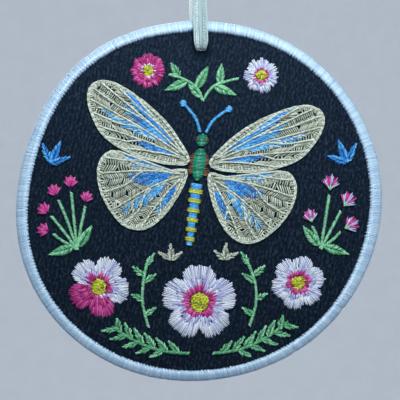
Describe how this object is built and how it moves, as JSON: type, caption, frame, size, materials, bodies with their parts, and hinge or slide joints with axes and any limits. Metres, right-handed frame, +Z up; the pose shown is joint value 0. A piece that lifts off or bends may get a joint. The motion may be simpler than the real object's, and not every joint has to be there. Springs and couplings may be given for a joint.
{
  "type": "round embroidered cloth hanging with cord loop",
  "caption": "Round black twill disc with a satin-stitched border, a raised thread butterfly and flowers, and a flat woven cord looped through a hole near its top.",
  "frame": {"origin": "inside top of the hanging cord's loop, above the centre of the disc", "axes": "+Z up; the embroidered face looks along -Y and +X runs to the right across it"},
  "size_m": [0.1105, 0.0073, 0.163],
  "materials": {
    "twill_ground": "black cotton twill on a stiff backing, matt, fine near-upright ribs",
    "satin_border": "pale blue-white rayon thread laid side by side over the rim, soft gloss",
    "woven_cord": "flat braided cord, pale cream, matt",
    "ecru_stitching": "ecru rayon thread in open satin stitch with run outlines",
    "teal_stitching": "teal rayon thread in close satin stitch",
    "blue_stitching": "blue rayon thread in close satin stitch",
    "green_stitching": "green rayon thread in satin and run stitch",
    "pink_stitching": "pink rayon thread in long satin stitch",
    "lilac_stitching": "pale lilac rayon thread in long satin stitch",
    "yellow_stitching": "yellow rayon thread in short close stitches"
  },
  "bodies": {
    "root": {"abdomen": "blue_stitching", "blue_sprig_left": "blue_stitching", "blue_sprig_right": "blue_stitching", "bud_left_1": "pink_stitching", "bud_left_2": "pink_stitching", "bud_left_3": "pink_stitching", "bud_left_4": "pink_stitching", "bud_left_5": "pink_stitching", "bud_right_1": "pink_stitching", "bud_right_2": "pink_stitching", "bud_right_3": "pink_stitching", "bud_right_4": "pink_stitching", "ecru_sprig_left": "ecru_stitching", "ecru_sprig_right": "ecru_stitching", "feeler_left": "blue_stitching", "feeler_right": "blue_stitching", "fern_left": "green_stitching", "fern_right": "green_stitching", "forewing_left": "ecru_stitching", "forewing_right": "ecru_stitching", "ground_cloth": "twill_ground", "hanging_cord": "woven_cord", "head": "teal_stitching", "hindwing_left": "ecru_stitching", "hindwing_right": "ecru_stitching", "large_flower_heart": "yellow_stitching", "large_flower_petals": "lilac_stitching", "leaves_left": "green_stitching", "leaves_right": "green_stitching", "lilac_flower_heart": "yellow_stitching", "lilac_flower_petals": "lilac_stitching", "pink_flower_heart": "yellow_stitching", "pink_flower_petals": "pink_stitching", "spray_left": "green_stitching", "spray_right": "green_stitching", "spray_top": "green_stitching", "stitched_border": "satin_border", "thorax": "teal_stitching", "top_left_daisy_heart": "yellow_stitching", "top_left_daisy_petals": "pink_stitching", "top_right_daisy_heart": "yellow_stitching", "top_right_daisy_petals": "pink_stitching"}
  },
  "joints": []
}
